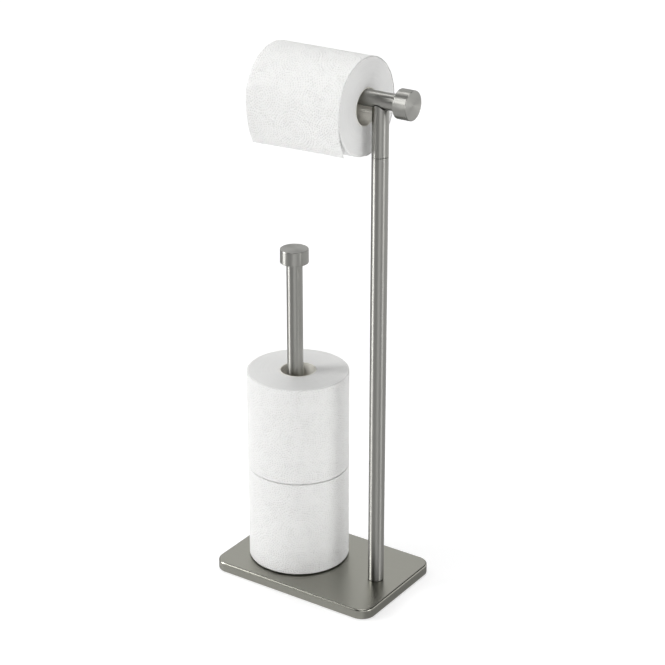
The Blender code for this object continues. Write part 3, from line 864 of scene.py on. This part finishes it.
def roll_section(inner, outer, half, edge):
    """The closed section of wound paper: radii, heights, which points are on the side, and outward ways.

    It goes out over the lower end, round a quarter circle, up the side, round another, in over the upper
    end and down the bore. At a lean of a from straight down the way is (sin a, -cos a), and the bore has
    none.
    """
    a = np.linspace(0.0, math.pi / 2, ROLL_EDGE_STEPS + 1)
    side = np.linspace(-half + edge, half - edge, ROLL_SIDE_ROWS)[1:-1]
    end = inner + (outer - edge - inner) * np.linspace(0.0, 1.0, ROLL_END_ROWS)[:-1]
    low_radius = np.concatenate([end, outer - edge + edge * np.sin(a)])
    low_height = np.concatenate([np.full(len(end), -half), -half + edge - edge * np.cos(a)])
    lean = np.concatenate([np.zeros(len(end)), a])
    low_way_r, low_way_h = np.sin(lean), -np.cos(lean)
    radius = np.concatenate([low_radius, np.full(len(side), outer), low_radius[::-1], [inner, inner]])
    height = np.concatenate([low_height, side, -low_height[::-1], [half / 3, -half / 3]])
    way_r = np.concatenate([low_way_r, np.ones(len(side)), low_way_r[::-1], [0.0, 0.0]])
    way_h = np.concatenate([low_way_h, np.zeros(len(side)), -low_way_h[::-1], [0.0, 0.0]])
    counts = [len(end), 2 * len(a) + len(side), len(end) + 2]
    return radius, height, np.repeat([False, True, False], counts), way_r, way_h


def paper_piece(name, node, axis, sizes, finishes, seed, shrink=0.0, tail=0.0, relief=1.0, lift=0.0):
    """The wound paper of a roll, with softly uneven ends and side, all inside its CAD solid.

    A point is its section's point less its outward way times the puckers. On the side those are the
    relief's share of them, and on an end fine ones of half the depth and broad ones of one and a half times
    it. The side also grows by the tail's step over one turn, so that the outermost sheet ends in it. The
    lower end stands the lift above the solid's.
    """
    middle, half = node_middle(node)
    outer, length = half[1] - shrink, half[AXIS_PARTS[axis][2]]
    inner = node_middle(node.replace("_paper", "_core"))[1][1] + CORE_CLEARANCE
    radius, height, on_side, way_r, way_h = roll_section(inner, outer, length, sizes.edge_round)
    height = height + lift * (length - height) / (2 * length)
    t = round_angles(ROLL_SIDES)
    r, h, out_r, out_h = (part[:, None] for part in (radius, height, way_r, way_h))
    side = puckers(t, h, seed) * sizes.pucker * relief
    ends = puckers(2 * t, r * 2.5, seed + 1) * 0.5 * sizes.pucker
    wander = puckers(t, r * 0.2, seed + 2) * 1.5 * sizes.pucker
    sink = side * out_r**2 + (ends + wander) * out_h**2
    step = tail * (1.0 - t / TURN) * np.abs(out_r)
    points = turned(r - sink * out_r - step, h - sink * out_h, ROLL_SIDES, middle, axis)
    faces = grid_faces(len(radius), ROLL_SIDES, closed_rows=True, closed_columns=True)
    run = np.concatenate([[0.0], np.cumsum(np.hypot(np.diff(radius), np.diff(height)))])
    run = np.append(run, run[-1] + 2 * length / 3)
    places = grid_corners(run, np.append(t, TURN) * outer)[:, :, ::-1]
    return make_piece(name, points, faces, finishes, places, np.repeat(~on_side, ROLL_SIDES))


def core_piece(name, node, axis, sizes, finish):
    """A card core: a tube whose inner face steps out by a ply along a spiral, with soft ends."""
    middle, half = node_middle(node)
    outer, length = half[1], half[AXIS_PARTS[axis][2]]
    inner, soft = outer - sizes.core_wall, sizes.core_wall / 3
    left, short = quarter(soft, steps=3)
    bore = (length - soft) * np.linspace(-1.0, 1.0, CORE_ROWS)[-2:0:-1]
    third = (length - soft) / 3
    out, back, end = outer - left, inner + left, length - short
    radius = np.concatenate([out[::-1], [outer, outer], out, back[::-1], np.full(len(bore), inner), back])
    height = np.concatenate([-end[::-1], [-third, third], end, end[::-1], bore, -end])
    turns = round_angles(CORE_SIDES) / TURN + height[:, None] / STRIP_PITCH + 0.5
    ply = np.where(np.isclose(radius, inner)[:, None], turns - np.floor(turns), 0.0) * CORE_PLY
    points = turned(radius[:, None] + ply, height, CORE_SIDES, middle, axis)
    faces = grid_faces(len(radius), CORE_SIDES, closed_rows=True, closed_columns=True)
    return make_piece(name, points, faces, [finish])


def make_roll(context, body, paper_name, axis, dots, **shape):
    """Make the wound paper of a roll and its core, on the roll's own body."""
    sizes, colors = context.scene.holder_paper, context.scene.holder_colors
    middle = node_middle(body + "_paper")[0]
    face = tissue_face(body + "_tissue", colors.tissue, sizes, dots)
    edge = tissue_edge(body + "_tissue_edge", colors.tissue, axis, middle)
    seed = PUCKER_SEEDS[body]
    paper = paper_piece(paper_name, body + "_paper", axis, sizes, [face, edge], seed, **shape)
    card = core_card(body + "_card", colors.card, axis, middle)
    core = core_piece(body + "_tube", body + "_core", axis, sizes, card)
    seat(paper, body + "_paper", body)
    seat(core, body + "_core", body)


class HOLDER_OT_spare_rolls(bpy.types.Operator):
    """Make the two spare rolls and their cores"""

    bl_idname = "holder.spare_rolls"
    bl_label = "Spare Rolls"

    def execute(self, context):
        foot_gap = context.scene.holder_paper.foot_gap
        for body, lift in (("upper_spare", 0.0), ("lower_spare", foot_gap)):
            make_roll(context, body, body + "_roll", "Z", SPARE_DOTS, tail=TAIL_STEP, lift=lift)
        return {"FINISHED"}


class HOLDER_OT_top_roll(bpy.types.Operator):
    """Make the roll on the arm and its core"""

    bl_idname = "holder.top_roll"
    bl_label = "Top Roll"

    def execute(self, context):
        shrink = context.scene.holder_paper.sheet_thickness + SHEET_CLEARANCE
        make_roll(context, "top_roll", "top_roll_body", "X", TOP_DOTS, shrink=shrink, relief=0.0)
        return {"FINISHED"}


def sheet_path(run, radius, curl, wrap):
    """Places in the Y-Z plane along the outermost sheet, and the directions that face outwards there.

    It follows the roll for the length wrap, from below, round the back and over the top to the front. There
    it leaves straight down, along a circle of the curl's radius: y = -r + c (1 - cos a) and z = -c sin a.
    """
    psi = (wrap - run) / radius
    on_roll = run < wrap
    a = (run - wrap) / curl
    y = np.where(on_roll, -radius * np.cos(psi), -radius + curl * (1 - np.cos(a)))
    z = np.where(on_roll, radius * np.sin(psi), -curl * np.sin(a))
    out_y = np.where(on_roll, -np.cos(psi), -np.cos(a))
    out_z = np.where(on_roll, np.sin(psi), -np.sin(a))
    return y, z, out_y, out_z


def sheet_piece(sizes, finish):
    """The outermost sheet: its outer and its inner face on one grid of runs and widths, joined all round.

    A point is the path's point less its outward direction times a depth. That is the puckers, a dip at the
    two sides and a wave. For x from -1 to 1 across the sheet, the wave is 1 + sin(2.1 x + 0.6), times the
    square of the hanging length. The torn edge has teeth of ((1 + cos w) / 2) cubed, where w turns once in a
    tooth's spacing.
    """
    middle, half = node_middle("top_roll_paper")
    half_width, outer = half[0], half[1]
    wrap = WRAP_TURNS * TURN * outer
    share = np.linspace(0.0, 1.0, SHEET_ROWS)[:, None]
    across = np.linspace(-1.0, 1.0, SHEET_COLUMNS)[None, :]
    teeth = TOOTH_DEPTH * (0.5 + 0.5 * np.cos(across * half_width * TURN / TOOTH_SPACING)) ** 3
    drop = sizes.far_drop + (sizes.near_drop - sizes.far_drop) * (across + 1) / 2 - teeth
    run = share * (wrap + drop)
    y, z, out_y, out_z = sheet_path(run, outer, sizes.sheet_curl, wrap)
    hang = np.clip((run - wrap) / sizes.near_drop, 0.0, 1.0)
    wave = hang**2 * WAVE_DEPTH * (1 + np.sin(across * 2.1 + 0.6))
    uneven = puckers(run * SHEET_PUCKER_RATE, across * half_width, PUCKER_SEEDS["loose_sheet"])
    sink = uneven * sizes.pucker + wave
    soft = np.clip((1.0 - np.abs(across)) * half_width / SOFT_BAND, 0.0, 1.0)
    dip = SOFT_DEPTH * (1 - soft) ** 2
    x = np.broadcast_to(across * half_width, y.shape)
    outside, inside = (
        np.stack([x, y - out_y * depth, z - out_z * depth], axis=-1) + middle
        for depth in (sink + dip, sink + sizes.sheet_thickness - dip * SOFT_INSIDE)
    )
    points = np.concatenate([outside, inside[:, ::-1]], axis=1)
    loop = 2 * SHEET_COLUMNS
    i = np.arange(SHEET_COLUMNS - 1)
    cap = np.stack([i, i + 1, loop - 2 - i, loop - 1 - i], axis=1)
    last_cap = cap[:, ::-1] + (SHEET_ROWS - 1) * loop
    faces = np.concatenate([grid_faces(SHEET_ROWS, loop, closed_columns=True), cap, last_cap])
    width = (across[0] + 1) * half_width
    line = np.concatenate([width, width[::-1], width[:1]])
    corners = grid_corners(share[:, 0] * (wrap + sizes.near_drop), line)
    places = np.concatenate([corners, np.zeros((2 * len(cap), 4, 2))])
    return make_piece("loose_end", points, faces, [finish], places)


class HOLDER_OT_loose_sheet(bpy.types.Operator):
    """Make the outermost sheet of the top roll, which goes three quarters round it and hangs at the front"""

    bl_idname = "holder.loose_sheet"
    bl_label = "Loose Sheet"

    def execute(self, context):
        sizes, color = context.scene.holder_paper, context.scene.holder_colors.tissue
        piece = sheet_piece(sizes, tissue_face("loose_sheet_tissue", color, sizes, TOP_DOTS))
        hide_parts("loose_sheet")
        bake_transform(piece)
        return {"FINISHED"}


# The stage

SoftBox = namedtuple("SoftBox", "name azimuth spread edge low high fade gain")

# Angles are in degrees. A box reaches its spread to both sides of its azimuth, and from low to high, and its
# light eases off over edge and over fade, to both sides of those limits. The boxes under the horizon stand
# for the bright floor, in reflections. Most azimuths, spreads, heights and gains are rounded results of a
# least-squares fit of the lit scene to the photo's tones, and the rest were set one by one.
SOFT_BOXES = (
    SoftBox("left box", azimuth=-53, spread=7, edge=8, low=-14, high=42, fade=8, gain=7.8),
    SoftBox("left wing", azimuth=-42, spread=13, edge=8, low=15, high=23, fade=6, gain=2.9),
    SoftBox("front bounce", azimuth=39, spread=15, edge=15, low=-9, high=9, fade=6, gain=2.35),
    SoftBox("right strip", azimuth=90, spread=3, edge=10, low=-8, high=26, fade=8, gain=3.8),
    SoftBox("right wall", azimuth=123, spread=58, edge=15, low=-18, high=25, fade=8, gain=1.03),
    SoftBox("back wall", azimuth=-110, spread=56, edge=20, low=12, high=52, fade=10, gain=1.0),
    SoftBox("ceiling box", azimuth=0, spread=180, edge=0, low=78, high=90, fade=8, gain=4.4),
    SoftBox("high box", azimuth=-135, spread=23, edge=8, low=65, high=90, fade=5, gain=6.0),
    SoftBox("floor", azimuth=0, spread=180, edge=0, low=-90, high=1, fade=8, gain=0.32),
    SoftBox("front floor", azimuth=-27, spread=75, edge=20, low=-90, high=-15, fade=8, gain=0.43),
)

FillLamp = namedtuple("FillLamp", "name azimuth elevation distance aim_x aim_z width height beam power")

# Lamps for the matt surfaces, which don't show in the metal. Each looks at a point of the plane y = 0, and
# beam is the angle that its light spreads over.
FILL_LAMPS = (
    FillLamp("top fill", azimuth=5, elevation=35, distance=1.0, aim_x=0.0, aim_z=0.61,
             width=0.5, height=0.5, beam=180, power=1.7),
    FillLamp("low front fill", azimuth=60, elevation=0, distance=0.8, aim_x=0.0, aim_z=0.08,
             width=0.5, height=0.15, beam=180, power=0.75),
    FillLamp("low right fill", azimuth=86, elevation=0, distance=0.7, aim_x=0.0, aim_z=0.10,
             width=0.5, height=0.15, beam=180, power=0.45),
    FillLamp("tube fill", azimuth=34, elevation=23, distance=0.2, aim_x=0.060, aim_z=0.593,
             width=0.012, height=0.016, beam=3, power=0.00014),
)

WHITE = (1.0, 1.0, 1.0, 1.0)
# The width of the camera's sensor in millimetres
SENSOR_WIDTH = 36.0
# The floor's half width, its grey to the light and to the camera, and what it adds for the camera
FLOOR_REACH = 30.0
FLOOR_MATT = (0.9, 0.9, 0.9, 1.0)
FLOOR_SHOWN = (0.55, 0.55, 0.55, 1.0)
FLOOR_GLOW = 0.565


class HolderStudio(bpy.types.PropertyGroup):
    """Light and view. The camera's defaults come from a fit to the stand's edges in the photo."""

    level: bpy.props.FloatProperty(
        name="Level", description="Level of all the studio's light", default=1.0, min=0.0
    )
    azimuth: angle_property("Azimuth", "Camera's angle round the object", 34.084)
    elevation: angle_property("Elevation", "Camera's angle above the horizon", 23.245)
    place: bpy.props.FloatVectorProperty(
        name="Camera place", description="Where the camera stands", unit="LENGTH",
        default=(1.142156, -1.666363, 1.185425),
    )
    lens: bpy.props.FloatProperty(name="Lens", description="Focal length in millimetres", default=101.887)


def direction(azimuth, elevation=0.0):
    """The unit vector towards an azimuth and an elevation, both in degrees, where azimuth 0 is -Y."""
    a, e = math.radians(azimuth), math.radians(elevation)
    return (math.sin(a) * math.cos(e), -math.cos(a) * math.cos(e), math.sin(e))


def height_window(tree, height, low, high, fade):
    """A smooth window over a direction's height, the sine of its elevation, from low to high in degrees."""
    low_out, low_in, high_in, high_out = (
        math.sin(math.radians(edge)) for edge in (low - fade, low + fade, high - fade, high + fade)
    )
    window = 1.0
    if low > -90:
        window = stepped(tree, height, low_out, low_in)
    if high < 90:
        window = calc(tree, "MULTIPLY", window, stepped(tree, height, high_out, high_in))
    return window


def make_world(level):
    """A studio of soft boxes round the object, with a plain white background behind it.

    Each box is a smooth window in azimuth, by the cosine of the angle to its middle, times one in elevation.
    Reflections alone see what is under the horizon, where the floor is hidden from them.
    """
    world = bpy.data.worlds.new("studio")
    bpy.context.scene.world = world
    world.use_nodes = True
    tree = world.node_tree
    tree.nodes.clear()
    way = add_node(tree, "ShaderNodeTexCoord").outputs["Generated"]
    height = split(tree, way)[2]
    flat = vector_calc(tree, "NORMALIZE", vector_calc(tree, "MULTIPLY", way, (1.0, 1.0, 0.0)))
    ray = add_node(tree, "ShaderNodeLightPath").outputs
    total = 0.0
    for box in SOFT_BOXES:
        window = height_window(tree, height, box.low, box.high, box.fade)
        if box.spread < 180:
            toward = vector_calc(tree, "DOT_PRODUCT", flat, direction(box.azimuth), "Value")
            outside = math.cos(math.radians(box.spread + box.edge))
            inside = math.cos(math.radians(max(box.spread - box.edge, 0)))
            window = calc(tree, "MULTIPLY", window, stepped(tree, toward, outside, inside))
        total = calc(tree, "MULTIPLY_ADD", window, box.gain * level, total)
    # The metal's reflections see the studio's soft boxes and not the plain white background. The real metal
    # has dark bands beside its bright ones, which a white surround can't give.
    lit = calc(tree, "MAXIMUM", ray["Is Glossy Ray"], calc(tree, "GREATER_THAN", height, 0.0))
    strength = calc(tree, "MULTIPLY", total, lit)
    studio = add_node(tree, "ShaderNodeBackground", {"Color": WHITE, "Strength": strength})
    plain = add_node(tree, "ShaderNodeBackground", {"Color": WHITE, "Strength": 1.0})
    shaders = {0: ray["Is Camera Ray"], 1: studio.outputs[0], 2: plain.outputs[0]}
    add_node(tree, "ShaderNodeOutputWorld", {0: add_node(tree, "ShaderNodeMixShader", shaders).outputs[0]})


def make_fill_lamps(level):
    """Lamps with the matt surfaces to themselves: hidden from the camera and from reflections."""
    for fill in FILL_LAMPS:
        light = bpy.data.lights.new(fill.name, "AREA")
        light.shape, light.size, light.size_y = "RECTANGLE", fill.width, fill.height
        light.spread = math.radians(fill.beam)
        light.energy = fill.power * level
        lamp = new_object(fill.name, light)
        away = np.array(direction(fill.azimuth, fill.elevation))
        lamp.location = (fill.aim_x, 0.0, fill.aim_z) + fill.distance * away
        lamp.rotation_euler = (math.radians(90 - fill.elevation), 0.0, math.radians(fill.azimuth))
        lamp.visible_camera = lamp.visible_glossy = False


def make_floor():
    """A wide pale floor that looks white to the camera and keeps the object's soft shadow."""
    mesh = bpy.data.meshes.new("floor")
    corners = [(x * FLOOR_REACH, y * FLOOR_REACH, 0.0) for x, y in ((-1, -1), (1, -1), (1, 1), (-1, 1))]
    mesh.from_pydata(corners, [], [(0, 1, 2, 3)])
    floor = new_object("floor", mesh)
    finish = bpy.data.materials.new("floor_paint")
    finish.use_nodes = True
    tree = finish.node_tree
    tree.nodes.clear()
    matt = add_node(tree, "ShaderNodeBsdfDiffuse", {"Color": FLOOR_MATT})
    shown = add_node(tree, "ShaderNodeBsdfDiffuse", {"Color": FLOOR_SHOWN})
    glow = add_node(tree, "ShaderNodeEmission", {"Strength": FLOOR_GLOW})
    both = add_node(tree, "ShaderNodeAddShader", {0: shown.outputs[0], 1: glow.outputs[0]})
    seen = add_node(tree, "ShaderNodeLightPath").outputs["Is Camera Ray"]
    mix = add_node(tree, "ShaderNodeMixShader", {0: seen, 1: matt.outputs[0], 2: both.outputs[0]})
    add_node(tree, "ShaderNodeOutputMaterial", {0: mix.outputs[0]})
    mesh.materials.append(finish)
    floor.visible_glossy = False


class HOLDER_OT_stage(bpy.types.Operator):
    """Set up the camera, the floor and the studio light"""

    bl_idname = "holder.stage"
    bl_label = "Stage"

    def execute(self, context):
        scene = context.scene
        studio = scene.holder_studio
        lens = bpy.data.cameras.new("camera")
        lens.lens, lens.sensor_width = studio.lens, SENSOR_WIDTH
        camera = new_object("camera", lens)
        camera.location = studio.place
        camera.rotation_euler = (math.pi / 2 - studio.elevation, 0.0, studio.azimuth)
        scene.camera = camera
        make_floor()
        make_world(studio.level)
        make_fill_lamps(studio.level)
        scene.view_settings.view_transform = "Standard"
        return {"FINISHED"}


class HOLDER_PT_panel(bpy.types.Panel):
    """The steps that build the holder, and their settings"""

    bl_idname = "HOLDER_PT_panel"
    bl_label = "Toilet Paper Holder"
    bl_space_type = "VIEW_3D"
    bl_region_type = "UI"
    bl_category = "Holder"

    def draw(self, context):
        layout = self.layout
        for operator in OPERATORS:
            layout.operator(operator.bl_idname)
        for name in SETTINGS:
            group = getattr(context.scene, name)
            box = layout.box()
            for key in group.__annotations__:
                box.prop(group, key)


SETTINGS = {
    "holder_metal": HolderMetalSizes,
    "holder_paper": HolderPaperSizes,
    "holder_colors": HolderColors,
    "holder_studio": HolderStudio,
}
OPERATORS = (
    HOLDER_OT_stage,
    HOLDER_OT_cover,
    HOLDER_OT_posts,
    HOLDER_OT_arm,
    HOLDER_OT_knobs,
    HOLDER_OT_spare_rolls,
    HOLDER_OT_top_roll,
    HOLDER_OT_loose_sheet,
    HOLDER_OT_hidden_parts,
)
CLASSES = (*SETTINGS.values(), *OPERATORS, HOLDER_PT_panel)


def register():
    """Add the settings, the operators and the panel."""
    for item in CLASSES:
        bpy.utils.register_class(item)
    for name, group in SETTINGS.items():
        setattr(bpy.types.Scene, name, bpy.props.PointerProperty(type=group))


def unregister():
    """Take away what register added."""
    for name in SETTINGS:
        delattr(bpy.types.Scene, name)
    for item in reversed(CLASSES):
        bpy.utils.unregister_class(item)


def main():
    """Build the stage and every piece."""
    register()
    bpy.ops.holder.stage()
    bpy.ops.holder.cover()
    bpy.ops.holder.posts()
    bpy.ops.holder.arm()
    bpy.ops.holder.knobs()
    bpy.ops.holder.spare_rolls()
    bpy.ops.holder.top_roll()
    bpy.ops.holder.loose_sheet()
    bpy.ops.holder.hidden_parts()


if __name__ == "__main__":
    main()
